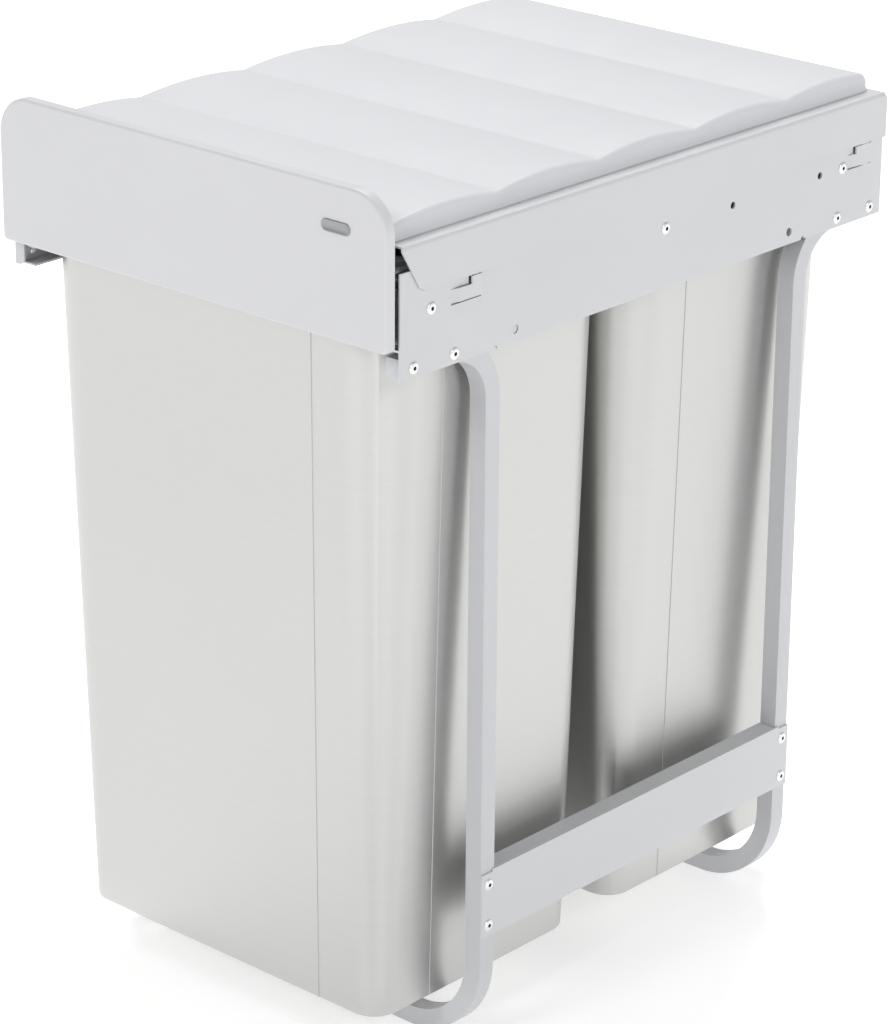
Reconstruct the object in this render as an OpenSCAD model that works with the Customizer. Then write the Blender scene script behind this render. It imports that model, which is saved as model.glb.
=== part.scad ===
// Pull-out twin waste bin for a kitchen base cabinet.
// Millimetres. X is the width, Y runs from the front panel to the back, Z is up from the floor.
// Every module is drawn with Y = 0 at the front edge of the side plates, then place() centres it.

/* [Frame] */
// Width across the outer faces of the two side plates
frame_w = 262; // [240:1:320]
// Depth of the side plates
frame_d = 368; // [340:1:450]
// Height of the side plates' lower edge above the floor
plate_z = 374; // [300:1:450]
// Height of the side plates
plate_h = 63.5; // [62:0.5:75]
// Thickness of the sheet metal
sheet_t = 1; // [0.8:0.1:1.2]
// Width of the edges folded inwards on the side plates
plate_fold_w = 6.4; // [5:0.1:7]

/* [Tube hoops] */
// Outer size of the square tube
tube_s = 10; // [9:0.5:12]
// Wall of the square tube
tube_wall = 1; // [0.8:0.1:1.5]
// Distance from a plate's end to the near face of a hoop's leg
hoop_inset = 60.5; // [55:0.5:75]
// Outer radius of the bend at the floor
foot_bend_r = 48; // [30:1:60]
// Inner radius of the bend under the side plate
top_bend_r = 24; // [18:1:28]
// Distance between the two screw holes in each foot tube
foot_hole_pitch = 150; // [100:1:160]
// Radius of the screw holes to the cabinet
screw_hole_r = 2.25; // [2:0.05:2.6]

/* [Crossbars] */
// Height of the crossbars' lower edge above the floor
crossbar_z = 65; // [55:1:120]
// Height of the crossbars
crossbar_h = 36; // [30:1:50]
// Width of the crossbars' folded edges
crossbar_fold_w = 11; // [6:0.5:11]

/* [Slides] */
// Height of the slides' middle above the side plates' lower edge
slide_mid = 31; // [30:0.5:34]
// Length of each slide member
slide_len = 350; // [300:10:350]
// Distance from the plate's front edge to the slide
slide_set = 1.5; // [1.2:0.1:6]
// Length of a ball cage
cage_len = 120; // [80:1:150]
// Radius of the balls
ball_r = 1.8; // [1.7:0.05:1.85]
// Clearance between a ball and its track
ball_gap = 0.05; // [0.03:0.01:0.08]

/* [Bins] */
// Clearance between the foot tubes and the bins' floors
bin_foot_gap = 17.5; // [8:0.5:30]
// Gap between a bin's side and the carriage rail
bin_side_gap = 1.1; // [0.8:0.1:2]
// Gap between the two bins at their tops
bin_gap = 7.5; // [6.5:0.1:12]
// Space left behind the rear bin
bin_rear_space = 14.7; // [13:0.1:30]
// How much each side leans in towards the floor
side_taper = 13.8; // [3:0.1:18]
// How much each end leans in towards the floor
end_taper = 11.4; // [2:0.1:16]
// Radius of the bins' corners at the top
bin_corner_r = 34; // [20:1:45]
// Radius of the bins' corners at the floor
bin_floor_r = 15; // [8:1:30]
// Wall of the bins
bin_wall = 0.8; // [0.6:0.1:1.2]
// How far the rolled rim stands out
rim_out = 2.2; // [2:0.1:2.6]
// Height of the rolled rim
rim_h = 3; // [2:0.1:4]

/* [Lid] */
// Number of waves
wave_count = 5; // [3:1:7]
// Height of a wave's crown above its valleys
wave_rise = 3.1; // [2:0.1:5]
// Height of the valleys above the lid's foot
lid_h = 7.7; // [6:0.1:12]
// How far the lid's edges slope inwards
lid_slope_w = 2; // [1:0.1:6]
// How far the lid's rear end slopes forwards
lid_rear_slope_w = 5; // [1:0.5:10]
// Width of the frame's ledge outside the lid
lid_ledge_w = 8.8; // [4:0.1:12]
// Height of the lid frame's side flange
lid_flange_h = 23.5; // [20:0.5:27]

/* [Front panel] */
// How far the panel's ends stand back from the plates' outer faces
panel_end_gap = 0.9; // [0:0.1:4]
// Height of the front panel
panel_h = 75; // [60:1:90]
// Height of the panel's lower edge above the side plates' lower edge
panel_rise = 14.7; // [12:0.1:16]
// Depth of the panel with its folded edges
panel_d = 6.3; // [5:0.1:9]
// Gap between the panel and the side plates
panel_gap = 2.3; // [1:0.1:3]
// Radius of the panel's top corners
panel_r = 20; // [8:1:26]

/* [Hidden] */
$fn = 48;
eps = 0.01;

plate_colour = "#d6d7db";
tube_colour = "#cfd1d6";
bin_colour = "#c9c8c4";
zinc_colour = "#b9bcc0";

half_w = frame_w / 2;
plate_in = half_w - sheet_t;
plate_top = plate_z + plate_h;

// Rivets
rivet_r = 1.6;
rivet_hole_r = rivet_r + 0.05;
rivet_head_r = 3.1;
rivet_head_h = 1;

// Hoops
leg_y = hoop_inset + tube_s / 2;
leg_top_z = plate_z - top_bend_r;
top_leg_end = 3;
hoop_rivet_y = [9.2, 37];
hoop_rivet_z = plate_z + tube_s / 2;
crossbar_rivet_z = [crossbar_z + 6, crossbar_z + crossbar_h - 7.5];

// Slides: a section is drawn with s running from the side plate inwards and t from the slide's middle up
slide_w = 9;
slide_half_h = 17.5;
slide_sheet = 1.1;
slide_z = plate_z + slide_mid;
outer_race_t = 14.9;
inner_race_t = 10.8;
outer_race_s = 5;
inner_race_s = 5.75;
slide_rivet_y = [slide_set + 19.5, slide_set + 189, slide_set + slide_len - 17.5];
spare_hole_y = [slide_set + 242, slide_set + 313.5];
spare_hole_r = 1.9;
cage_y = slide_set + (slide_len - cage_len) / 2 - 5;
cage_sheet = 0.6;
balls_per_row = 5;
ball_pitch = (cage_len - 16) / (balls_per_row - 1);

// Carriage
rail_out = plate_in - slide_w;
rail_in = rail_out - sheet_t;
rail_top = slide_z + slide_half_h + 2.5;
rail_low = slide_z - 15;
rail_ledge_w = 4.2;
strut_low = rail_low + 2;
strut_h = 28;
strut_ear = 7.5;

// Front panel
panel_w = frame_w - 2 * panel_end_gap;
panel_front = -panel_gap - panel_d;
panel_z = plate_z + panel_rise;

// Bins
bin_z = tube_s + bin_foot_gap;
bin_floor_bend = 1.5;
bin_half_top = rail_in - bin_side_gap;
bin_front_y = -0.2;
bin_d = (frame_d - bin_rear_space - bin_front_y - bin_gap) / 2;
bin_pitch = bin_d + bin_gap;
rear_strut_y = frame_d - bin_rear_space + rim_out + 2.2;
middle_strut_y = bin_front_y + bin_d + bin_gap / 2 - sheet_t / 2;

// Lid
flange_in = half_w + 0.2;
flange_out = flange_in + sheet_t;
lid_seat = plate_top + sheet_t;
lid_foot_half = flange_out - lid_ledge_w;
lid_front_y = 1.5;
lid_back_y = frame_d - 0.5;
lid_base_h = 1.2;
lid_opening_inset = 12;
flange_top = lid_seat;
flange_bend_r = 1.8;
flange_low = flange_top - lid_flange_h;
wave_start = 4;
wave_pitch = (frame_d - wave_start + 3) / wave_count;
wave_r = (pow(wave_pitch / 2, 2) + pow(wave_rise, 2)) / (2 * wave_rise);

// Hooks lanced out of the side plates to hold the lid frame
hook_y = [34, frame_d - 30];
hook_len = [20.5, 19];
finger_w = [7, 13.4];
hook_low = flange_low - 10.8;
hook_body_h = 6.6;
finger_h = 3.8;
hook_run = 5;
hook_out = half_w + 1.5;

// Holes in the side plates that take screws into the cabinet
cabinet_hole_y = [79.7, frame_d - 77.3];
cabinet_hole_z = plate_z + 6.5;

nameplate_t = 0.6;
lid_frame_back = frame_d + 1;
y_mid = (panel_front - nameplate_t + lid_frame_back) / 2;

module place() {
    translate([0, -y_mid, 0]) children();
}

module both() {
    children();
    mirror([1, 0, 0]) children();
}

module front_and_rear() {
    children();
    translate([0, frame_d, 0]) mirror([0, 1, 0]) children();
}

// A box from one corner to the opposite one
module span(a, b) {
    translate(a) cube(b - a);
}

// A hole or pin along X, centred on x
module along_x(r, x, y, z, len) {
    translate([x, y, z]) rotate([0, 90, 0]) cylinder(r = r, h = len, center = true);
}

// An outline drawn in Y and Z, as a plate from x0 to x1
module yz_plate(x0, x1) {
    translate([x0, 0, 0]) rotate([90, 0, 90]) linear_extrude(x1 - x0) children();
}

// A blind rivet through a stack of sheets, head outwards on the plane x = x0
module rivet(x0, y, z, grip, tail_r, tail_h, head_r, head_h) {
    translate([x0, y, z]) rotate([0, 90, 0]) difference() {
        union() {
            translate([0, 0, -grip]) cylinder(r = rivet_r, h = grip + head_h / 2);
            cylinder(r = head_r, h = head_h * 0.4);
            translate([0, 0, head_h * 0.4]) cylinder(r1 = head_r, r2 = head_r * 0.62, h = head_h * 0.6);
            translate([0, 0, -grip - tail_h]) cylinder(r = tail_r, h = tail_h);
        }
        translate([0, 0, head_h * 0.3]) cylinder(r = head_r * 0.34, h = head_h);
    }
}

module plate_outline() {
    difference() {
        polygon([[0, plate_z], [frame_d, plate_z], [frame_d, plate_top], [21, plate_top],
            [12, plate_top - 11.5], [0, plate_top - 11.5]]);
        for (y = [leg_y, frame_d - leg_y]) translate([y, plate_z]) circle(r = 1.6, $fn = 24);
    }
}

// Hook i: a strap that leaves the plate at its front end, and a finger that points up
module plate_hook(i) {
    y0 = hook_y[i];
    y1 = y0 + hook_len[i];
    translate([0, 0, hook_low]) linear_extrude(hook_body_h) polygon([[plate_in, y0], [half_w, y0],
        [hook_out, y0 + hook_run], [hook_out, y1], [hook_out - sheet_t, y1],
        [hook_out - sheet_t, y0 + hook_run + 0.5], [plate_in, y0 + 1]]);
    span([hook_out - sheet_t, y1 - finger_w[i], hook_low], [hook_out, y1, hook_low + hook_body_h + finger_h]);
}

// The slot that hook i leaves in the plate
module hook_slot(i) {
    y1 = hook_y[i] + hook_len[i] + 0.8;
    top = hook_low + hook_body_h;
    span([plate_in - 1, hook_y[i] + 0.5, hook_low - 1.3], [half_w + 1, y1, top + 0.1]);
    span([plate_in - 1, y1 - finger_w[i] - 1.8, hook_low], [half_w + 1, y1, top + finger_h + 1]);
}

module plate_right(front_fold) {
    difference() {
        yz_plate(plate_in, half_w) plate_outline();
        for (i = [0, 1]) hook_slot(i);
        front_and_rear() for (y = hoop_rivet_y) along_x(rivet_hole_r, half_w, y, hoop_rivet_z, 6);
        for (y = slide_rivet_y) along_x(rivet_hole_r, half_w, y, slide_z, 6);
        for (y = spare_hole_y) along_x(spare_hole_r, half_w, y, slide_z, 6);
        for (y = cabinet_hole_y) along_x(screw_hole_r, half_w, y, cabinet_hole_z, 6);
    }
    for (i = [0, 1]) plate_hook(i);
    // edge folded in below the slide, with a round lower corner
    if (front_fold) difference() {
        span([half_w - plate_fold_w, 0, plate_z], [plate_in, sheet_t, slide_z - slide_half_h - 1]);
        translate([half_w - plate_fold_w + 4, 1, plate_z + 4]) rotate([90, 0, 0]) difference() {
            translate([-5, -5, -1]) cube([5, 5, 4]);
            translate([0, 0, -2]) cylinder(r = 4, h = 6);
        }
    }
    span([half_w - plate_fold_w, 22, plate_top - sheet_t], [plate_in, frame_d - 2, plate_top]);
}

module side_plate_right() {
    color(plate_colour) plate_right(false);
}

module side_plate_left() {
    color(plate_colour) mirror([1, 0, 0]) plate_right(true);
}

module tube_section() {
    difference() {
        square(tube_s, center = true);
        square(tube_s - 2 * tube_wall, center = true);
    }
}

// Half of the front hoop: foot tube, floor bend, leg, upper bend and the arm behind the side plate
module hoop_half() {
    x = plate_in - tube_s / 2;
    difference() {
        union() {
            translate([0, leg_y, tube_s / 2]) rotate([90, 0, 90]) linear_extrude(plate_in - foot_bend_r)
                tube_section();
            translate([plate_in - foot_bend_r, leg_y, foot_bend_r]) rotate([-90, 0, 0])
                rotate_extrude(angle = 90, $fn = 96) translate([foot_bend_r - tube_s / 2, 0]) tube_section();
            translate([x, leg_y, foot_bend_r]) linear_extrude(leg_top_z - foot_bend_r) tube_section();
            translate([x, hoop_inset - top_bend_r, leg_top_z]) rotate([90, 0, 90])
                rotate_extrude(angle = 90, $fn = 96) translate([top_bend_r + tube_s / 2, 0]) tube_section();
            translate([x, top_leg_end, hoop_rivet_z]) rotate([-90, 0, 0])
                linear_extrude(hoop_inset - top_bend_r - top_leg_end) tube_section();
        }
        // the arm's inner wall is left out, so that its rivets can be set
        span([plate_in - tube_s - 1, 0, plate_z + tube_wall],
            [plate_in - tube_s + tube_wall, hoop_inset - top_bend_r, plate_z + tube_s - tube_wall]);
        for (y = hoop_rivet_y) along_x(rivet_hole_r, plate_in, y, hoop_rivet_z, 4);
        for (z = crossbar_rivet_z) along_x(rivet_hole_r, plate_in, leg_y, z, 4);
        translate([foot_hole_pitch / 2, leg_y, -1]) cylinder(r = screw_hole_r, h = tube_s + 2);
    }
}

module front_hoop() {
    color(tube_colour) both() hoop_half();
}

module rear_hoop() {
    color(tube_colour) translate([0, frame_d, 0]) mirror([0, 1, 0]) both() hoop_half();
}

// A channel between the hoops' legs, with its ends lapped over them
module crossbar() {
    top = crossbar_z + crossbar_h;
    y0 = hoop_inset;
    y1 = frame_d - hoop_inset;
    fold_y0 = y0 + tube_s + 0.5;
    fold_y1 = y1 - tube_s - 0.5;
    difference() {
        span([plate_in, y0, crossbar_z], [half_w, y1, top]);
        front_and_rear() span([plate_in - 1, y0 - 1, top - 1.3], [half_w + 1, y0 + 8, top + 1]);
        front_and_rear() for (z = crossbar_rivet_z) along_x(rivet_hole_r, half_w, leg_y, z, 6);
    }
    span([half_w - crossbar_fold_w, fold_y0, top - sheet_t], [plate_in, fold_y1, top]);
    span([half_w - crossbar_fold_w, fold_y0, crossbar_z], [plate_in, fold_y1, crossbar_z + sheet_t]);
}

module crossbar_right() {
    color(plate_colour) crossbar();
}

module crossbar_left() {
    color(plate_colour) mirror([1, 0, 0]) crossbar();
}

module hoop_rivets() {
    color(zinc_colour) both() front_and_rear() for (y = hoop_rivet_y)
        rivet(half_w, y, hoop_rivet_z, sheet_t + tube_wall, 2.3, 2, rivet_head_r, rivet_head_h);
}

module crossbar_rivets() {
    color(zinc_colour) both() front_and_rear() for (z = crossbar_rivet_z)
        rivet(half_w, leg_y, z, sheet_t + tube_wall, 2.3, 2, rivet_head_r, rivet_head_h);
}

module slide_rivets() {
    color(zinc_colour) both() for (y = slide_rivet_y)
        rivet(half_w, y, slide_z, sheet_t + slide_sheet, rivet_r, eps, rivet_head_r, rivet_head_h);
}

// A slide section from s0 to s1: its arms lie between heights t0 and t1, its web is on the plate's side
module channel(s0, s1, t0, t1, web_t) {
    difference() {
        translate([s0, -t1]) square([s1 - s0, 2 * t1]);
        translate([s0 + web_t, -t0]) square([s1 - s0, 2 * t0]);
    }
}

// A slide section drawn in s and t, pulled along Y on the right-hand side
module slide_bar(y0, len) {
    translate([plate_in, y0 + len, slide_z]) rotate([90, 0, 0]) linear_extrude(len) mirror([1, 0]) children();
}

module race(s, t) {
    for (k = [-1, 1]) translate([s, k * t]) circle(r = ball_r + ball_gap);
}

module outer_member() {
    difference() {
        slide_bar(slide_set, slide_len) difference() {
            channel(0, 7.8, slide_half_h - slide_sheet, slide_half_h, slide_sheet);
            race(outer_race_s, outer_race_t);
        }
        for (y = slide_rivet_y) along_x(rivet_hole_r, plate_in, y, slide_z, 6);
        for (y = spare_hole_y) along_x(spare_hole_r, plate_in, y, slide_z, 6);
    }
}

module middle_member() {
    difference() {
        slide_bar(slide_set, slide_len) difference() {
            channel(2, 8.2, 12.3, 12.3 + slide_sheet, slide_sheet);
            race(outer_race_s, outer_race_t);
            race(inner_race_s, inner_race_t);
        }
        for (y = spare_hole_y) along_x(spare_hole_r, plate_in, y, slide_z, 9);
    }
}

rail_rivet_y = [slide_set + 28.5, middle_strut_y + 14, slide_set + slide_len - 10];

module inner_member() {
    difference() {
        slide_bar(slide_set, slide_len) difference() {
            translate([slide_w + 4.2, 0]) mirror([1, 0])
                channel(4.2, slide_w, 9.3 - slide_sheet, 9.3, slide_sheet);
            race(inner_race_s, inner_race_t);
        }
        for (y = rail_rivet_y) along_x(rivet_hole_r, rail_out, y, slide_z, 6);
    }
}

// Places of the balls along one row
function ball_y(i) = cage_y + 8 + i * ball_pitch;

module cage(s0, s1, race_s, race_t) {
    difference() {
        slide_bar(cage_y, cage_len)
            channel(s0, s1, race_t - cage_sheet / 2, race_t + cage_sheet / 2, 0.4);
        for (i = [0:balls_per_row - 1])
            translate([plate_in - race_s, ball_y(i), slide_z - race_t - 2])
                cylinder(r = ball_r + ball_gap, h = 2 * race_t + 4);
    }
}

module balls(race_s, race_t) {
    for (i = [0:balls_per_row - 1]) for (k = [-1, 1])
        translate([plate_in - race_s, ball_y(i), slide_z + k * race_t]) sphere(r = ball_r, $fn = 24);
}

module slide_outer_right() { color(zinc_colour) outer_member(); }
module slide_outer_left() { color(zinc_colour) mirror([1, 0, 0]) outer_member(); }
module slide_middle_right() { color(zinc_colour) middle_member(); }
module slide_middle_left() { color(zinc_colour) mirror([1, 0, 0]) middle_member(); }
module slide_inner_right() { color(zinc_colour) inner_member(); }
module slide_inner_left() { color(zinc_colour) mirror([1, 0, 0]) inner_member(); }
module outer_cage_right() { color(zinc_colour) cage(1.35, 7.2, outer_race_s, outer_race_t); }
module outer_cage_left() { color(zinc_colour) mirror([1, 0, 0]) cage(1.35, 7.2, outer_race_s, outer_race_t); }
module inner_cage_right() { color(zinc_colour) cage(3.35, 8, inner_race_s, inner_race_t); }
module inner_cage_left() { color(zinc_colour) mirror([1, 0, 0]) cage(3.35, 8, inner_race_s, inner_race_t); }
module outer_balls() { color("silver") both() balls(outer_race_s, outer_race_t); }
module inner_balls() { color("silver") both() balls(inner_race_s, inner_race_t); }

module rail() {
    difference() {
        span([rail_in, panel_front + sheet_t, rail_low], [rail_out, rear_strut_y + sheet_t, rail_top]);
        for (y = rail_rivet_y) along_x(rivet_hole_r, rail_out, y, slide_z, 6);
    }
    span([rail_out, panel_front + sheet_t, rail_top - sheet_t],
        [rail_in + rail_ledge_w, rear_strut_y, rail_top]);
}

module carriage_rail_right() { color(plate_colour) rail(); }
module carriage_rail_left() { color(plate_colour) mirror([1, 0, 0]) rail(); }

// Rivets from the rail into the inner slide member, heads towards the bins
module rail_rivets() {
    color(zinc_colour) both() for (y = rail_rivet_y) translate([2 * rail_in, 0, 0]) mirror([1, 0, 0])
        rivet(rail_in, y, slide_z, sheet_t + slide_sheet, 2.2, 0.8, 2.5, 0.7);
}

// A strut between the rails; ears_to is the side its bent ends point to
module strut(y0, ears_to) {
    span([-rail_in, y0, strut_low], [rail_in, y0 + sheet_t, strut_low + strut_h]);
    both() span([rail_in - sheet_t, ears_to > 0 ? y0 + sheet_t : y0 - strut_ear, strut_low],
        [rail_in, ears_to > 0 ? y0 + sheet_t + strut_ear : y0, strut_low + strut_h]);
}

stud_x = [40, 95];
stud_z = strut_low + strut_h / 2;

module front_strut() {
    color(plate_colour) difference() {
        strut(panel_front + sheet_t, 1);
        both() for (x = stud_x) translate([x, panel_front, stud_z]) rotate([-90, 0, 0])
            cylinder(r = 2.1, h = 6);
    }
}

module middle_strut() { color(plate_colour) strut(middle_strut_y, 1); }
module rear_strut() { color(plate_colour) strut(rear_strut_y, -1); }

// Panel outline with large top corners and small bottom corners
module panel_shape(inset) {
    w = panel_w / 2 - inset;
    r = panel_r - inset;
    low_r = 3 - inset;
    union() {
        translate([-w + low_r, inset]) square([2 * (w - low_r), panel_h - 2 * inset - r]);
        translate([-w, inset + low_r]) square([2 * w, panel_h - 2 * inset - r - low_r]);
        translate([-w + r, inset]) square([2 * (w - r), panel_h - 2 * inset]);
        for (k = [-1, 1]) translate([k * (w - r), panel_h - inset - r]) circle(r = r, $fn = 96);
        for (k = [-1, 1]) translate([k * (w - low_r), inset + low_r]) circle(r = low_r, $fn = 32);
    }
}

module front_panel() {
    color(plate_colour) translate([0, panel_front, panel_z]) difference() {
        translate([0, panel_d, 0]) rotate([90, 0, 0]) linear_extrude(panel_d) panel_shape(0);
        translate([0, panel_d + 1, 0]) rotate([90, 0, 0]) linear_extrude(panel_d + 1 - sheet_t)
            panel_shape(sheet_t);
    }
}

module panel_studs() {
    color(zinc_colour) both() for (x = stud_x) translate([x, panel_front + sheet_t, stud_z])
        rotate([-90, 0, 0]) cylinder(r = 2, h = 4.7);
}

module panel_nuts() {
    color(zinc_colour) both() for (x = stud_x) translate([x, panel_front + 2 * sheet_t, stud_z])
        rotate([-90, 0, 0]) difference() {
            cylinder(r = 4.04, h = 3.2, $fn = 6);
            translate([0, 0, -1]) cylinder(r = 2.02, h = 6);
        }
}

nameplate_w = 18;
nameplate_h = 6;

// A blank badge on the panel
module nameplate() {
    r = nameplate_h / 2;
    color("#8d9096") translate([panel_w / 2 - 31, panel_front, panel_z + panel_h - 20]) rotate([90, 0, 0])
        linear_extrude(nameplate_t) union() {
            square([nameplate_w - nameplate_h, nameplate_h], center = true);
            for (k = [-1, 1]) translate([k * (nameplate_w / 2 - r), 0]) circle(r = r);
        }
}

// One level of a bin: four round corners, inset from the outer faces
module bin_ring(z, inset) {
    k = (rail_top - z) / (rail_top - bin_z);
    x = bin_half_top - side_taper * k;
    y = bin_d / 2 - end_taper * k;
    r = bin_corner_r + (bin_floor_r - bin_corner_r) * k;
    for (i = [-1, 1]) for (j = [-1, 1])
        translate([i * (x - r), j * (y - r), z]) cylinder(r = r - inset, h = eps, $fn = 64);
}

module bin_body(wall) {
    hull() {
        bin_ring(bin_z + wall, wall + bin_floor_bend);
        bin_ring(bin_z + wall + bin_floor_bend, wall);
        bin_ring(rail_top + rim_h - (wall > 0 ? -1 : eps), wall);
    }
}

module bin() {
    color(bin_colour) difference() {
        union() {
            bin_body(0);
            hull() {
                bin_ring(rail_top, -rim_out + 0.6);
                bin_ring(rail_top + 0.6, -rim_out);
                bin_ring(rail_top + rim_h - 0.6, -rim_out);
                bin_ring(rail_top + rim_h - eps, -rim_out + 0.8);
            }
        }
        bin_body(bin_wall);
    }
}

module bin_front() { translate([0, bin_front_y + bin_d / 2, 0]) bin(); }
module bin_rear() { translate([0, bin_front_y + bin_d / 2 + bin_pitch, 0]) bin(); }

// Sheet frame around the lid: a ledge on the plates' top edges and a flange down each side
module lid_frame() {
    in = half_w - lid_opening_inset - 7;
    color(plate_colour) {
        difference() {
            span([-flange_in, lid_front_y, plate_top], [flange_in, frame_d, lid_seat]);
            span([-in, lid_front_y + lid_opening_inset, plate_top - 1],
                [in, frame_d - 18, lid_seat + 1]);
        }
        both() difference() {
            yz_plate(flange_in, flange_out) difference() {
                polygon([[0.3, flange_top], [0.3, flange_top - 2], [12, flange_low + 2], [16, flange_low],
                    [lid_frame_back, flange_low], [lid_frame_back, flange_top]]);
                translate([lid_frame_back - 4, flange_top - 4]) difference() {
                    square(5);
                    circle(r = 4);
                }
            }
            translate([flange_out - flange_bend_r, -1, flange_top - flange_bend_r]) rotate([-90, 0, 0])
                difference() {
                    translate([0, -3, 0]) cube([3, 3, frame_d + 4]);
                    translate([0, 0, -1]) cylinder(r = flange_bend_r, h = frame_d + 6);
                }
        }
    }
}

// The wavy top and the sloped edges as one closed block; the lid is one block less a smaller one
module lid_block(inset, z0) {
    z1 = lid_seat + 0.1;
    x0 = lid_foot_half - inset;
    slope_h = lid_h - lid_base_h;
    crown = lid_h + wave_rise;
    reach = lid_slope_w * crown / slope_h;
    rear_reach = lid_rear_slope_w * crown / slope_h;
    intersection() {
        translate([0, lid_back_y, 0]) rotate([90, 0, 0]) linear_extrude(lid_back_y - lid_front_y)
            polygon([[-x0, z0], [x0, z0], [x0, z1 + lid_base_h - inset / 2],
                [x0 - reach, z1 + lid_base_h + crown - inset / 2],
                [-x0 + reach, z1 + lid_base_h + crown - inset / 2], [-x0, z1 + lid_base_h - inset / 2]]);
        rotate([90, 0, 90]) translate([0, 0, -half_w]) linear_extrude(2 * half_w)
            polygon([[lid_front_y + inset, z0], [lid_back_y - inset, z0],
                [lid_back_y - inset, z1 + lid_base_h - inset / 2],
                [lid_back_y - inset - rear_reach, z1 + lid_base_h + crown - inset / 2],
                [lid_front_y + inset, z1 + lid_base_h + crown - inset / 2]]);
        union() {
            for (i = [0:wave_count - 1]) intersection() {
                translate([0, wave_start + (i + 0.5) * wave_pitch, z1 + lid_h + wave_rise - wave_r])
                    rotate([0, 90, 0]) cylinder(r = wave_r - inset, h = 2 * half_w, center = true, $fn = 360);
                span([-half_w, i == 0 ? -5 : wave_start + i * wave_pitch, z0 - 1],
                    [half_w, wave_start + (i + 1) * wave_pitch, z1 + 2 * lid_h + wave_rise]);
            }
        }
    }
}

module lid() {
    color("#dfe0e4") difference() {
        lid_block(0, lid_seat + 0.1);
        lid_block(1.2, lid_seat - 1);
    }
}

place() side_plate_left();
place() side_plate_right();
place() front_hoop();
place() rear_hoop();
place() crossbar_left();
place() crossbar_right();
place() hoop_rivets();
place() crossbar_rivets();
place() slide_outer_left();
place() slide_outer_right();
place() slide_middle_left();
place() slide_middle_right();
place() slide_inner_left();
place() slide_inner_right();
place() outer_cage_left();
place() outer_cage_right();
place() inner_cage_left();
place() inner_cage_right();
place() outer_balls();
place() inner_balls();
place() slide_rivets();
place() rail_rivets();
place() carriage_rail_left();
place() carriage_rail_right();
place() front_strut();
place() middle_strut();
place() rear_strut();
place() front_panel();
place() panel_studs();
place() panel_nuts();
place() nameplate();
place() bin_front();
place() bin_rear();
place() lid_frame();
place() lid();
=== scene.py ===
"""Looks for the pull-out twin waste bin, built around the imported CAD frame."""

import math

import bmesh
import bpy
from mathutils import Matrix, Vector


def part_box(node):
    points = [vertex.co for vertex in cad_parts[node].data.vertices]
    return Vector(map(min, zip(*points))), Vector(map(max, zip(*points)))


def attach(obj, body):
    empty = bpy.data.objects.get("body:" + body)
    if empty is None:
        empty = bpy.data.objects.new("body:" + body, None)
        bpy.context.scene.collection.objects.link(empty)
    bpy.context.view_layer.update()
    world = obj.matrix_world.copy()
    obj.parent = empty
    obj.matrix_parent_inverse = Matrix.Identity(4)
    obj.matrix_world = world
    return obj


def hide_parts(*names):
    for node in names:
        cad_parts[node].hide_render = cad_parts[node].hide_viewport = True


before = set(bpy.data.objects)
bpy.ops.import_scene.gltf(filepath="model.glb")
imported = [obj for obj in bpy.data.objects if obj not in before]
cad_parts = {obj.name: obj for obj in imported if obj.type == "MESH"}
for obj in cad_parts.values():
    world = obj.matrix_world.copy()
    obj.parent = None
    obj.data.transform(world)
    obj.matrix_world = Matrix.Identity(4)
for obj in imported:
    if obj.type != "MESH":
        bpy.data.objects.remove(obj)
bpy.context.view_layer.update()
scene = bpy.context.scene
MM = 0.001

# ---------------------------------------------------------------- camera

CAM_PLACE = Vector((1.25625, -1.39222, 0.96156))
CAM_YAW, CAM_PITCH, CAM_ROLL = (math.radians(a) for a in (42.156, 21.473, 0.3866))
CAM_LENS = 134.94
CAM_SENSOR = 36
CAM_REACH = 50


def make_camera():
    """The camera from its place, its yaw, pitch and roll, and its lens."""
    back = Vector((math.sin(CAM_YAW) * math.cos(CAM_PITCH),
                   -math.cos(CAM_YAW) * math.cos(CAM_PITCH), math.sin(CAM_PITCH)))
    right = Vector((math.cos(CAM_YAW), math.sin(CAM_YAW), 0))
    up = back.cross(right)
    c, s = math.cos(CAM_ROLL), math.sin(CAM_ROLL)
    axes = (c * right + s * up, c * up - s * right, back)
    data = bpy.data.cameras.new("camera")
    data.sensor_width = CAM_SENSOR
    data.lens = CAM_LENS
    data.clip_end = CAM_REACH
    cam = bpy.data.objects.new("camera", data)
    cam.matrix_world = Matrix.Translation(CAM_PLACE) @ Matrix([
        [axes[j][i] for j in range(3)] for i in range(3)]).to_4x4()
    scene.collection.objects.link(cam)
    scene.camera = cam


make_camera()

# ---------------------------------------------------------------- materials


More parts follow.
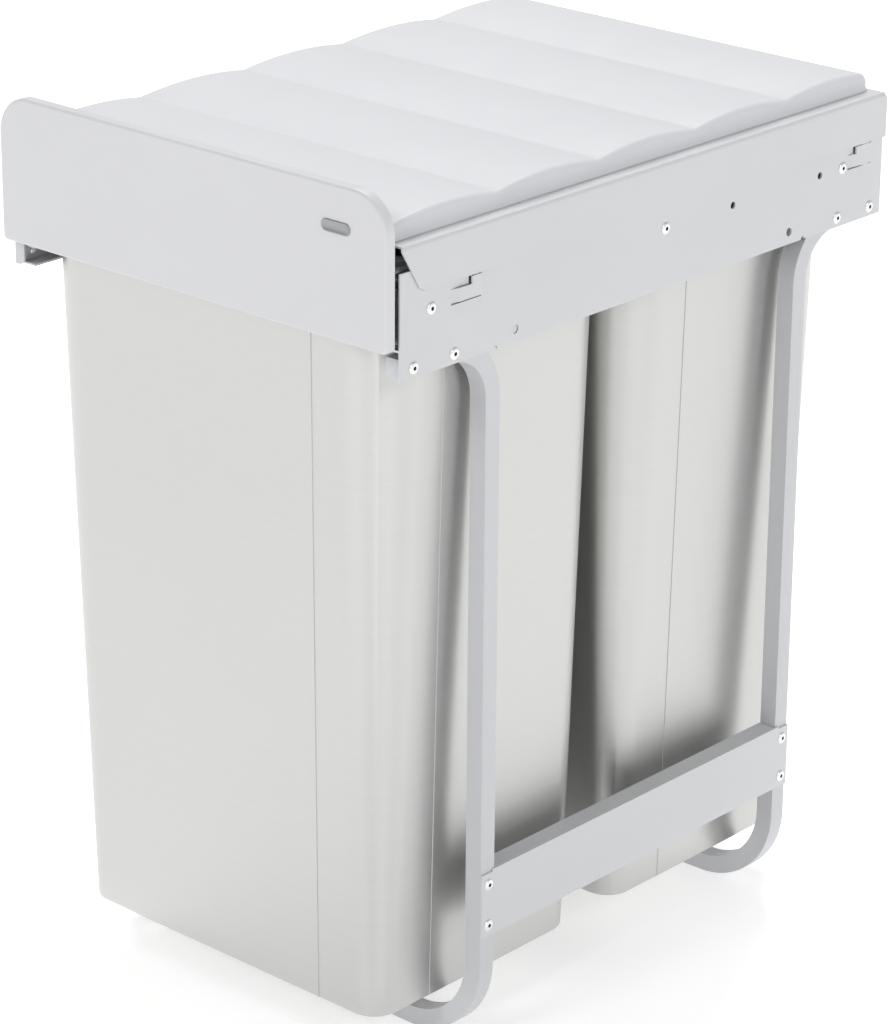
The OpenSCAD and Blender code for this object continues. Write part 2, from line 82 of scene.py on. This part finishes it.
class Nodes:
    """A material's node tree, with short calls for the nodes used here."""

    def __init__(self, name, color, metallic, roughness):
        self.mat = bpy.data.materials.new(name)
        self.mat.use_nodes = True
        self.tree = self.mat.node_tree
        self.shader = self.tree.nodes["Principled BSDF"]
        self.set(self.shader, "Base Color", (*color, 1))
        self.set(self.shader, "Metallic", metallic)
        self.set(self.shader, "Roughness", roughness)
        coord = self.tree.nodes.new("ShaderNodeTexCoord")
        self.place = coord.outputs["Object"]

    def set(self, node, socket, value):
        node.inputs[socket].default_value = value

    def link(self, out, node, socket):
        self.tree.links.new(out, node.inputs[socket])

    def noise(self, scale, stretch=(1, 1, 1), detail=3.0, rough=0.5):
        shift = self.tree.nodes.new("ShaderNodeMapping")
        self.set(shift, "Scale", tuple(scale * s for s in stretch))
        self.link(self.place, shift, "Vector")
        tex = self.tree.nodes.new("ShaderNodeTexNoise")
        self.set(tex, "Scale", 1.0)
        self.set(tex, "Detail", detail)
        self.set(tex, "Roughness", rough)
        self.link(shift.outputs[0], tex, "Vector")
        return tex.outputs["Fac"]

    def ramp(self, value, low, high, from_low=0.3, from_high=0.7):
        node = self.tree.nodes.new("ShaderNodeMapRange")
        self.set(node, "From Min", from_low)
        self.set(node, "From Max", from_high)
        self.set(node, "To Min", low)
        self.set(node, "To Max", high)
        self.link(value, node, "Value")
        return node.outputs[0]

    def math(self, kind, a, b):
        node = self.tree.nodes.new("ShaderNodeMath")
        node.operation = kind
        for k, v in enumerate((a, b)):
            if isinstance(v, (int, float)):
                node.inputs[k].default_value = v
            else:
                self.tree.links.new(v, node.inputs[k])
        return node.outputs[0]

    def tint(self, factor, dark, light):
        """Colour between two tones, by a factor that varies over the surface."""
        node = self.tree.nodes.new("ShaderNodeMix")
        node.data_type = "RGBA"
        node.inputs[6].default_value = (*dark, 1)
        node.inputs[7].default_value = (*light, 1)
        self.tree.links.new(factor, node.inputs[0])
        self.link(node.outputs[2], self.shader, "Base Color")

    def bump(self, height, depth, strength, before=None):
        """Relief of a given depth in metres, laid over an earlier bump if there is one."""
        node = self.tree.nodes.new("ShaderNodeBump")
        self.set(node, "Strength", strength)
        self.set(node, "Distance", depth)
        self.link(height, node, "Height")
        if before is not None:
            self.link(before, node, "Normal")
        self.link(node.outputs[0], self.shader, "Normal")
        return node.outputs[0]


# Pointiness is 0.5 on flat faces and grows towards outer edges; EDGE_FROM and EDGE_TO bound the
# painted highlight along outer edges.
EDGE_FROM, EDGE_TO = 0.52, 0.6
PAINT_SPREAD = 0.02
PEEL_DEPTH, DENT_DEPTH = 0.00004, 0.00008
DENT_GRAIN = 260
ROUGH_VARY = 0.05
STEEL_DARK, STEEL_LIGHT = 0.955, 1.03


def painted_edge_highlight(n):
    """1 along outer edges and 0 elsewhere: the mask of a painted highlight that lightens the paint
    there.
    """
    geo = n.tree.nodes.new("ShaderNodeNewGeometry")
    return n.ramp(geo.outputs["Pointiness"], 0.0, 1.0, EDGE_FROM, EDGE_TO)


def scaled(color, k):
    """A tone made darker or lighter."""
    return tuple(min(1.0, c * k) for c in color)


def paint(name, color, rough=0.42, grain=1500):
    """Powder coat or moulded plastic: fine peel, faint clouding, and a painted highlight that makes
    outer edges a touch lighter.
    """
    n = Nodes(name, color, 0.0, rough)
    n.set(n.shader, "Specular IOR Level", 0.42)
    cloud = n.noise(9, detail=2)
    speck = n.noise(grain * 1.6, detail=2)
    mixed = n.math("ADD", n.math("MULTIPLY", cloud, 0.75), n.math("MULTIPLY", speck, 0.25))
    # Painted highlight: the colour is lightened along outer edges, on top of the random clouding.
    tone = n.math("ADD", n.ramp(mixed, 0.0, 1.0), n.math("MULTIPLY", painted_edge_highlight(n), 0.6))
    n.tint(tone, scaled(color, 1 - PAINT_SPREAD), scaled(color, 1 + PAINT_SPREAD))
    n.link(n.ramp(n.noise(40), rough - ROUGH_VARY, rough + ROUGH_VARY), n.shader, "Roughness")
    peel = n.bump(n.noise(grain, detail=2), PEEL_DEPTH, 0.35)
    n.bump(n.noise(DENT_GRAIN, detail=1), DENT_DEPTH, 0.25, peel)
    return n.mat


def steel(name, color, rough, stretch, grain, aniso=0.8, depth=0.00002, uv=None, metal=1.0):
    """Metal with fine streaks in colour, roughness and bump, drawn out along one axis by stretch.

    With a UV map, the reflections are blurred along that map's first axis too.
    """
    n = Nodes(name, color, metal, rough)
    streak = n.noise(grain, stretch, detail=3, rough=0.6)
    broad = n.noise(grain * 0.12, stretch, detail=2)
    haze = n.noise(7, detail=2)
    both = n.math("ADD", n.math("MULTIPLY", streak, 0.45),
                  n.math("ADD", n.math("MULTIPLY", broad, 0.25), n.math("MULTIPLY", haze, 0.3)))
    n.tint(n.ramp(both, 0.0, 1.0), scaled(color, STEEL_DARK), scaled(color, STEEL_LIGHT))
    n.link(n.ramp(both, rough - ROUGH_VARY, rough + 0.06), n.shader, "Roughness")
    n.bump(streak, depth, 0.4)
    if uv is not None:
        n.set(n.shader, "Anisotropic", aniso)
        along = n.tree.nodes.new("ShaderNodeTangent")
        along.direction_type = "UV_MAP"
        along.uv_map = uv
        n.link(along.outputs[0], n.shader, "Tangent")
    return n.mat


STEEL_TONE = (0.60, 0.60, 0.586)
EVEN = (1, 1, 1)
ACROSS_Z = (0.02, 0.02, 1)
ALONG_Y = (1, 0.02, 1)
ALONG_X = (0.02, 1, 1)
MATS = {
    "sheet": paint("sheet_paint", (0.565, 0.571, 0.587)),
    "panel": paint("panel_paint", (0.60, 0.603, 0.622), rough=0.4),
    "tube": paint("tube_paint", (0.53, 0.535, 0.555), rough=0.4),
    "lid": paint("lid_plastic", (0.622, 0.628, 0.65), rough=0.52, grain=1100),
    "bin": steel("bin_steel", STEEL_TONE, 0.4, ACROSS_Z, 2600, 0.75, 0.00001, "grain", 0.9),
    "zinc": steel("zinc_plate", (0.55, 0.56, 0.57), 0.38, ALONG_Y, 1300),
    "ball": steel("ball_steel", (0.75, 0.75, 0.76), 0.12, EVEN, 2200, depth=0.000004),
    "rivet": steel("rivet_aluminium", (0.80, 0.80, 0.79), 0.34, EVEN, 1500, depth=0.00001),
    # Near-black painted shade for the sunk mandrel pit in each rivet head.
    "hollow": steel("mandrel_pit_painted_shade", (0.09, 0.09, 0.095), 0.5, EVEN, 1500, depth=0.00001),
    "badge": steel("badge_aluminium", (0.33, 0.335, 0.35), 0.4, ALONG_X, 1800),
}

# ---------------------------------------------------------------- mesh helpers


MERGE = 1e-7


def new_piece(name, shape, mats, body, replaces, sharp=35):
    """A piece from a gathered shape in the row frame, smooth but for its sharp edges."""
    mesh = bpy.data.meshes.new(name)
    mesh.from_pydata([tuple(v) for v in shape.verts], [], shape.faces)
    for m in mats:
        mesh.materials.append(MATS[m])
    for p, k in zip(mesh.polygons, shape.mats):
        p.material_index = k
    bm = bmesh.new()
    bm.from_mesh(mesh)
    bmesh.ops.remove_doubles(bm, verts=bm.verts, dist=MERGE)
    bmesh.ops.recalc_face_normals(bm, faces=bm.faces)
    bm.to_mesh(mesh)
    bm.free()
    mesh.shade_smooth()
    mesh.set_sharp_from_angle(angle=math.radians(sharp))
    ob = bpy.data.objects.new(name, mesh)
    scene.collection.objects.link(ob)
    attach(ob, body)
    if replaces:
        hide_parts(*replaces)
    return ob


class Shape:
    """Gathers points and faces, and the material slot of each face."""

    def __init__(self):
        self.verts, self.faces, self.mats = [], [], []

    def rings(self, rings, mat=0, cap_first=False, cap_last=False, open_ring=False):
        """Joins rings of equal length by quads. Each ring is a list of points."""
        base, n = len(self.verts), len(rings[0])
        for r in rings:
            self.verts.extend(r)
        for i in range(len(rings) - 1):
            a, b = base + i * n, base + (i + 1) * n
            for k in range(n - 1 if open_ring else n):
                m = (k + 1) % n
                self.faces.append((a + k, a + m, b + m, b + k))
                self.mats.append(mat)
        for used, r in ((cap_first, 0), (cap_last, len(rings) - 1)):
            if used:
                self.faces.append(tuple(base + r * n + k for k in range(n)))
                self.mats.append(mat)


CAD_WELD = 1e-6
CAD_FLAT = math.radians(0.6)


def dress(name, mat, bevel, segments=2, angle=40):
    """A CAD node keeps its shape: flat faces are merged, edges eased by bevel millimetres,
    and it gets its material.
    """
    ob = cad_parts[name]
    ob.data.materials.clear()
    ob.data.materials.append(MATS[mat])
    weld = ob.modifiers.new("weld", "WELD")
    weld.merge_threshold = CAD_WELD
    flat = ob.modifiers.new("flat", "DECIMATE")
    flat.decimate_type = "DISSOLVE"
    flat.angle_limit = CAD_FLAT
    if bevel:
        ease = ob.modifiers.new("ease", "BEVEL")
        ease.width = bevel * MM
        ease.segments = segments
        ease.limit_method = "ANGLE"
        ease.angle_limit = math.radians(angle)
        ease.miter_outer = "MITER_ARC"
    normals = ob.modifiers.new("normals", "WEIGHTED_NORMAL")
    normals.keep_sharp = False
    normals.weight = 80


# ---------------------------------------------------------------- bins

RIM_OUT = 2.2 * MM
RIM_H = 3.0 * MM
BIN_SIDE_TAPER, BIN_END_TAPER = 13.8 * MM, 11.4 * MM
BIN_R_TOP, BIN_R_FOOT = 34 * MM, 15 * MM
BIN_WALL = 0.8 * MM
BIN_BEND = 1.5 * MM
SEAM_TOP, SEAM_LOW = 45 * MM, 39.5 * MM
SEAM_LAP, SEAM_RUN = 0.32 * MM, 0.12 * MM
# The inner wall starts this far under the rim's top and is this much shorter than the bin.
INNER_DROP, INNER_SHORT = 1.2 * MM, 3.6 * MM
INNER_INSET = BIN_WALL + 0.1 * MM
ARC_STEPS = 20
WALL_STEPS = 26
FLAT_STEPS = 8
BEND_STOPS = (0, 30, 60, 90)


def bin_ring(box, k, z, inset, lap=0.0):
    """One level of a bin, k from 0 at the rim to 1 at the floor.

    The corner sheets stand in by lap, behind the edges of the four flat sides.
    """
    lo, hi = box
    cy = (lo.y + hi.y) / 2
    hx = hi.x - RIM_OUT - BIN_SIDE_TAPER * k
    hy = (hi.y - lo.y) / 2 - RIM_OUT - BIN_END_TAPER * k
    r = BIN_R_TOP + (BIN_R_FOOT - BIN_R_TOP) * k
    pts = []
    for quarter, (sx, sy) in enumerate(((1, -1), (1, 1), (-1, 1), (-1, -1))):
        for i in range(ARC_STEPS + 1):
            a = math.radians(90 * (quarter - 1) + 90 * i / ARC_STEPS)
            reach = r - inset - lap
            pts.append(Vector((sx * (hx - r) + math.cos(a) * reach,
                               cy + sy * (hy - r) + math.sin(a) * reach, z)))
        out = Vector(((1, 0, 0), (0, 1, 0), (-1, 0, 0), (0, -1, 0))[quarter])
        along = Vector((-out.y, out.x, 0))
        off, half = ((hx, hy), (hy, hx))[quarter % 2]
        seam = half - SEAM_TOP - (SEAM_LOW - SEAM_TOP) * k
        stops = [(-seam - SEAM_RUN, lap), (-seam, 0)]
        stops += [(seam * (2 * i / FLAT_STEPS - 1), 0) for i in range(1, FLAT_STEPS)]
        stops += [(seam, 0), (seam + SEAM_RUN, lap)]
        for place, step in stops:
            pts.append(Vector((0, cy, z)) + out * (off - inset - step) + along * place)
    return pts


def make_bin(name, node):
    """A tapered bin in one skin: up its outside, round its rolled rim and down its inside."""
    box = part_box(node)
    foot, top = box[0].z, box[1].z
    rail = top - RIM_H
    r = RIM_H / 2

    def ring(z, inset, lap=0.0):
        return bin_ring(box, (rail - z) / (rail - foot), z, inset, lap)

    rings = []
    for deg in BEND_STOPS:
        s, c = math.sin(math.radians(deg)), math.cos(math.radians(deg))
        rings.append(ring(foot + BIN_BEND * (1 - c), BIN_BEND * (1 - s), SEAM_LAP * s))
    for i in range(1, WALL_STEPS + 1):
        rings.append(ring(foot + BIN_BEND + (rail - foot - BIN_BEND) * i / WALL_STEPS, 0, SEAM_LAP))
    for deg in range(-90, 181, 27):
        t = math.radians(deg)
        rings.append(ring(rail + r + r * math.sin(t), -(RIM_OUT - r) - r * math.cos(t)))
    rings.append(ring(top - INNER_DROP, INNER_INSET))
    for i in range(1, WALL_STEPS):
        z = top - INNER_DROP - (top - foot - INNER_SHORT) * i / WALL_STEPS
        rings.append(ring(z, INNER_INSET))
    for deg in reversed(BEND_STOPS):
        s, c = math.sin(math.radians(deg)), math.cos(math.radians(deg))
        rings.append(ring(foot + BIN_WALL + BIN_BEND * (1 - c), BIN_WALL + BIN_BEND * (1 - s)))
    s = Shape()
    s.rings(rings, cap_first=True, cap_last=True)
    height_map(new_piece(name, s, ["bin"], "carriage", (node,)))


def height_map(ob):
    """A UV map whose first axis runs up the piece: the brushing's blur follows it."""
    uv = ob.data.uv_layers.new(name="grain")
    for loop in ob.data.loops:
        co = ob.data.vertices[loop.vertex_index].co
        uv.data[loop.index].uv = (co.z + co.x * 0.01, co.x - co.y + co.x * co.y)


make_bin("bin_front_shell", "bin_front")
make_bin("bin_rear_shell", "bin_rear")

# ---------------------------------------------------------------- lid

WAVES = 5
WAVE_START = 2.5 * MM
WAVE_END_PAST = 3.5 * MM
WAVE_RISE = 3.1 * MM
WAVE_SOFT = 1.8 * MM
LID_SLOPE = 2.0 * MM
LID_EDGE_R = 3.2 * MM
LID_END_R = 6.5 * MM
LID_CORNER_R = 7 * MM
LID_SHEET = 1.2 * MM
LID_END_FOOT = 1.5 * MM
LID_HOLLOW = 0.5 * MM
# Cuts across the lid: close together round each valley, in millimetres, then twelfths of a wave.
VALLEY_CUTS = (-6, -4, -2.6, -1.8, -1.2, -0.6, 0, 0.6, 1.2, 1.8, 2.6, 4, 6)
CREST_CUTS = range(2, 11)
CUT_LEAST = 0.12 * MM
SIDE_CUTS = (0.12, 0.3, 0.5, 0.75, 1)


def wave_height(y, pitch):
    """Height above the valleys at y, measured from the first wave's start."""
    place = y % pitch
    d = min(place, pitch - place)
    half = pitch / 2

    def arc(d):
        return WAVE_RISE * (1 - ((half - d) / half) ** 2)

    if d >= WAVE_SOFT or y < 0:
        return arc(d)
    slope = 2 * WAVE_RISE * (half - WAVE_SOFT) / half ** 2
    return arc(WAVE_SOFT) - slope * WAVE_SOFT / 2 + slope * d * d / (2 * WAVE_SOFT)


def make_lid():
    """The waved lid: one open sheet, cut by rows across it and thickened inwards."""
    lo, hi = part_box("lid")
    pitch = (hi.y - lo.y - WAVE_START + WAVE_END_PAST) / WAVES
    valley = hi.z - WAVE_RISE
    foot = lo.z
    ys = []
    for i in range(WAVES + 1):
        v = lo.y + WAVE_START + i * pitch
        ys += [v + d * MM for d in VALLEY_CUTS]
        ys += [v + pitch * t / 12 for t in CREST_CUTS]
    ys += [hi.y - LID_END_R * (1 - math.cos(math.radians(a))) for a in range(0, 91, 9)]
    ys = sorted(y for y in set(ys) if lo.y < y < hi.y)
    ys = [lo.y] + [y for k, y in enumerate(ys) if k == 0 or y - ys[k - 1] > CUT_LEAST] + [hi.y]

    def row(y, low=False):
        """The lid's outline at y, from one foot over the top to the other, or flat at the foot."""
        back = hi.y - y
        top = valley + wave_height(y - lo.y - WAVE_START, pitch)
        if back < LID_END_R:
            fall = math.sqrt(max(0, 1 - (1 - back / LID_END_R) ** 2))
            top = foot + LID_END_FOOT + (top - foot - LID_END_FOOT) * fall
        past = max(0, LID_CORNER_R - back)
        shrink = LID_CORNER_R - math.sqrt(max(0, LID_CORNER_R ** 2 - past ** 2))
        x_foot = hi.x - shrink
        tall = top - foot
        edge = min(LID_EDGE_R, tall * 0.6)
        lean = LID_SLOPE * tall / (valley - foot)
        side = [(x_foot, foot)]
        for t in SIDE_CUTS:
            z = foot + (tall - edge) * t
            hollow = LID_HOLLOW * math.sin(math.pi * t)
            side.append((x_foot - lean * (z - foot) / tall - hollow, z))
        x_e = side[-1][0]
        for deg in (15, 30, 45, 60, 75, 90):
            t = math.radians(deg)
            side.append((x_e - edge * (1 - math.cos(t)), top - edge + edge * math.sin(t)))
        x_t = side[-1][0]
        across = [(x_t * k / 8, top) for k in range(7, -8, -1)]
        outline = side + across + [(-x, z) for x, z in reversed(side)]
        return [Vector((x, y, foot if low else z)) for x, z in outline]

    s = Shape()
    s.rings([row(lo.y, True)] + [row(y) for y in ys] + [row(hi.y, True)], open_ring=True)
    ob = new_piece("lid_waved", s, ["lid"], "lid", ("lid",), sharp=60)
    wall = ob.modifiers.new("wall", "SOLIDIFY")
    wall.thickness = LID_SHEET
    wall.offset = -1
    ob.modifiers.new("normals", "WEIGHTED_NORMAL").keep_sharp = True


make_lid()

# ---------------------------------------------------------------- front panel and badge

PANEL_R_TOP, PANEL_R_LOW = 20 * MM, 3 * MM
PANEL_BEND = 1.5 * MM
PANEL_LIP = 0.25 * MM
BEND_STEPS = 6
SHEET = 1 * MM


def rounded(lo, hi, y, inset, r_top, r_low, steps=14):
    """Upright outline with its own radii above and below, drawn at depth y."""
    pts = []
    corners = ((1, -1, r_low, -90), (1, 1, r_top, 0), (-1, 1, r_top, 90), (-1, -1, r_low, 180))
    for sx, sz, r, start in corners:
        cx = (hi.x - r) if sx > 0 else (lo.x + r)
        cz = (hi.z - r) if sz > 0 else (lo.z + r)
        rr = max(r - inset, 0.05 * MM)
        shift = max(inset - r, 0)
        for i in range(steps + 1):
            a = math.radians(start + 90 * i / steps)
            pts.append(Vector((cx - sx * shift + math.cos(a) * rr, y,
                               cz - sz * shift + math.sin(a) * rr)))
    return pts


def bend_rings(lo, hi, y0, r, r_top, r_low):
    """Rings of a rounded front edge, from the sides to the front face at y0."""
    out = []
    for i in range(BEND_STEPS + 1):
        t = math.radians(90 * i / BEND_STEPS)
        y, inset = y0 + r * (1 - math.sin(t)), r * (1 - math.cos(t))
        out.append(rounded(lo, hi, y, inset, r_top, r_low))
    return out


def make_panel():
    """The folded front panel: its inner face, its turned edge and its outer face."""
    lo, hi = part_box("front_panel")
    lip = PANEL_LIP
    inside = ((lo.y + SHEET, PANEL_BEND), (lo.y + SHEET + 0.4 * MM, SHEET + 0.1 * MM),
              (lo.y + PANEL_BEND, SHEET))
    edge = ((hi.y - lip, SHEET), (hi.y, SHEET - lip), (hi.y, lip), (hi.y - lip, 0))
    rings = [rounded(lo, hi, y, inset, PANEL_R_TOP, PANEL_R_LOW) for y, inset in inside + edge]
    rings += bend_rings(lo, hi, lo.y, PANEL_BEND, PANEL_R_TOP, PANEL_R_LOW)
    s = Shape()
    s.rings(rings, cap_first=True, cap_last=True)
    ob = new_piece("panel_dished", s, ["panel"], "carriage", ("front_panel",),
                   sharp=50)
    ob.modifiers.new("normals", "WEIGHTED_NORMAL").keep_sharp = True


def make_badge():
    """A blank badge with round ends, an eased rim and a face sunk a little inside it."""
    lo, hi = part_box("nameplate")
    r = (hi.z - lo.z) / 2
    rim = ((hi.y, 0), (lo.y + 0.25 * MM, 0), (lo.y + 0.08 * MM, 0.07 * MM), (lo.y, 0.25 * MM))
    sunk = ((lo.y, 0.6 * MM), (lo.y + 0.12 * MM, 0.75 * MM))
    rings = [rounded(lo, hi, y, inset, r, r) for y, inset in rim + sunk]
    s = Shape()
    s.rings(rings, cap_last=True)
    new_piece("badge_plain", s, ["badge"], "carriage", ("nameplate",), sharp=50)


make_panel()
make_badge()

# ---------------------------------------------------------------- rivets and arm caps

# Profiles are pairs of radius and height over the sheet, in millimetres, for a head of HEAD_R.
RIVET_TURN = 28
HEAD = ((3.1, 0.0), (3.12, 0.16), (3.02, 0.34), (2.72, 0.56), (2.3, 0.76), (1.85, 0.9),
        (1.45, 0.97), (1.15, 0.96), (1.0, 0.88), (0.95, 0.7))
PIT = ((0.95, 0.7), (0.92, 0.1), (0.5, 0.06), (0.0, 0.12))
HEAD_R, HEAD_H = 3.1, 1.0
SMALL_HEAD_R = 2.5
SHANK_R = 1.6
BULB_R, BULB_DEPTH = 2.2, 2.1
THICK_DEPTH, THICK_NECK = 2.6, 1.9


def islands(node):
    """Lowest and highest corner of each separate solid of a CAD node."""
    bm = bmesh.new()
    bm.from_mesh(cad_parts[node].data)
    bmesh.ops.remove_doubles(bm, verts=bm.verts, dist=CAD_WELD)
    left, boxes = set(bm.verts), []
    while left:
        stack, seen = [next(iter(left))], set()
        while stack:
            v = stack.pop()
            if v in seen:
                continue
            seen.add(v)
            stack += [e.other_vert(v) for e in v.link_edges]
        left -= seen
        co = [v.co for v in seen]
        boxes.append((Vector(min(c[i] for c in co) for i in range(3)),
                      Vector(max(c[i] for c in co) for i in range(3))))
    bm.free()
    return sorted(boxes, key=lambda b: tuple(round(c, 5) for c in b[0]))


def make_rivets(name, node, body, head_r, inward=False):
    """Blind rivets: a domed head with the broken mandrel sunk in it, and a bulbed tail. The sunk
    pit is coloured near-black as painted shade.
    """
    s = Shape()
    for lo, hi in islands(node):
        side = 1 if (lo.x + hi.x) > 0 else -1
        out = -side if inward else side
        tip = hi.x if out > 0 else lo.x
        end = lo.x if out > 0 else hi.x
        cy, cz = (lo.y + hi.y) / 2, (lo.z + hi.z) / 2
        k = head_r / HEAD_R
        face = tip - out * HEAD_H * k * MM
        deep = abs(end - face) / MM / k
        tail_r = BULB_R if deep > BULB_DEPTH else SHANK_R
        neck = -THICK_NECK if deep > THICK_DEPTH else -deep * 0.6
        tail = ((0.0, -deep), (0.9, -deep), (tail_r * 0.8, -deep + 0.1), (tail_r, -deep + 0.4),
                (1.62, neck), (SHANK_R, -0.1), (2.95, -0.02))

        def turn(profile):
            """The profile's points turned round the rivet's axis, one ring for each."""
            angles = [2 * math.pi * i / RIVET_TURN for i in range(RIVET_TURN)]
            return [[Vector((face + out * h * k * MM,
                             cy + math.cos(a) * r * k * MM,
                             cz + math.sin(a) * r * k * MM)) for a in angles] for r, h in profile]

        s.rings(turn(tail + HEAD))
        # The pit takes the near-black material: painted shade in the hollow of the head.
        s.rings(turn(PIT), mat=1)
    new_piece(name, s, ["rivet", "hollow"], body, (node,), sharp=45)


make_rivets("hoop_rivet_set", "hoop_rivets", "frame", HEAD_R)
make_rivets("crossbar_rivet_set", "crossbar_rivets", "frame", HEAD_R)
make_rivets("slide_rivet_set", "slide_rivets", "frame", HEAD_R)
make_rivets("rail_rivet_set", "rail_rivets", "carriage", SMALL_HEAD_R, inward=True)

TUBE = 10 * MM
TUBE_R = 1.2 * MM
CAP_THICK, CAP_EASE = 0.9 * MM, 0.35 * MM
CAP_STEPS = 5


def make_arm_plugs():
    """Caps on the open ends of the right-hand arms; the left-hand arms stay open."""
    s = Shape()
    for node, front in (("front_hoop", True), ("rear_hoop", False)):
        lo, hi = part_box(node)
        y_in, y_out = (lo.y, lo.y - CAP_THICK) if front else (hi.y, hi.y + CAP_THICK)
        step = CAP_EASE if front else -CAP_EASE
        a, b = Vector((hi.x - TUBE, 0, hi.z - TUBE)), Vector((hi.x, 0, hi.z))
        rings = [rounded(a, b, y, inset, TUBE_R, TUBE_R, CAP_STEPS) for y, inset in (
            (y_in, 0), (y_out + step, 0), (y_out + step * 0.3, CAP_EASE * 0.3), (y_out, CAP_EASE))]
        s.rings(rings, cap_first=True, cap_last=True)
    new_piece("arm_plugs", s, ["tube"], "frame", (), sharp=50)


make_arm_plugs()

# ---------------------------------------------------------------- the other CAD nodes

for side in ("left", "right"):
    dress("side_plate_" + side, "sheet", 0.25)
    dress("crossbar_" + side, "sheet", 0.4)
    dress("slide_outer_" + side, "zinc", 0.25)
    dress("slide_middle_" + side, "zinc", 0.25)
    dress("slide_inner_" + side, "zinc", 0.25)
    dress("outer_cage_" + side, "zinc", 0.1)
    dress("inner_cage_" + side, "zinc", 0.1)
    dress("carriage_rail_" + side, "sheet", 0.4)
for strut in ("front_strut", "middle_strut", "rear_strut"):
    dress(strut, "sheet", 0.4)
dress("front_hoop", "tube", 1.2, 3, 50)
dress("rear_hoop", "tube", 1.2, 3, 50)
dress("lid_frame", "sheet", 0.3)
dress("outer_balls", "ball", 0)
dress("inner_balls", "ball", 0)
dress("panel_studs", "zinc", 0.3)
dress("panel_nuts", "zinc", 0.3)

# ---------------------------------------------------------------- floor and light

# The sky's strength overhead and at the horizon, and the heights between which it fades.
WORLD = 0.44
WORLD_EDGE = 1.0
FADE_FROM, FADE_TO = 0.05, 0.32
FLOOR_GLOW = 0.42
FLOOR_HALF = 7
LAMP_AWAY = 3


def make_floor():
    """A wide pale floor that glows a little, so that it stays light in shade."""
    n = Nodes("floor_paint", (0.9, 0.9, 0.9), 0.0, 0.7)
    n.tint(n.ramp(n.noise(6), 0.0, 1.0), (0.83, 0.83, 0.83), (0.85, 0.85, 0.85))
    n.set(n.shader, "Emission Color", (1, 1, 1, 1))
    n.set(n.shader, "Emission Strength", FLOOR_GLOW)
    mesh = bpy.data.meshes.new("floor")
    h = FLOOR_HALF
    mesh.from_pydata([(-h, -h, 0), (h, -h, 0), (h, h, 0), (-h, h, 0)], [], [(0, 1, 2, 3)])
    mesh.materials.append(n.mat)
    ob = bpy.data.objects.new("floor", mesh)
    scene.collection.objects.link(ob)


def make_world():
    """A pale studio: bright all round at the floor's edge, calmer overhead."""
    world = bpy.data.worlds.new("studio")
    world.use_nodes = True
    tree = world.node_tree
    back = tree.nodes["Background"]
    back.inputs["Color"].default_value = (1, 1, 1, 1)
    coord = tree.nodes.new("ShaderNodeTexCoord")
    split = tree.nodes.new("ShaderNodeSeparateXYZ")
    fade = tree.nodes.new("ShaderNodeMapRange")
    fade.interpolation_type = "SMOOTHSTEP"
    for socket, value in (("From Min", FADE_FROM), ("From Max", FADE_TO),
                          ("To Min", WORLD_EDGE), ("To Max", WORLD)):
        fade.inputs[socket].default_value = value
    tree.links.new(coord.outputs["Generated"], split.inputs[0])
    tree.links.new(split.outputs["Z"], fade.inputs["Value"])
    tree.links.new(fade.outputs[0], back.inputs["Strength"])
    scene.world = world


def far_lamp(name, azimuth, elevation, strength, spread):
    """A distant lamp, softened by spread degrees. Azimuth 0 is the front, 90 the right."""
    a, e = math.radians(azimuth), math.radians(elevation)
    place = Vector((math.sin(a) * math.cos(e), -math.cos(a) * math.cos(e), math.sin(e)))
    data = bpy.data.lights.new(name, "SUN")
    data.energy = strength
    data.angle = math.radians(spread)
    ob = bpy.data.objects.new(name, data)
    ob.rotation_mode = "QUATERNION"
    ob.rotation_quaternion = (-place).to_track_quat("-Z", "Y")
    ob.location = place * LAMP_AWAY
    scene.collection.objects.link(ob)


make_floor()
make_world()
far_lamp("key_front", 0, 38, 0.62, 16)
far_lamp("key_side", 72, 34, 0.58, 16)
far_lamp("low_side", 128, 10, 0.14, 44)
far_lamp("top", 222, 50, 1.75, 24)
scene.view_settings.view_transform = "Standard"
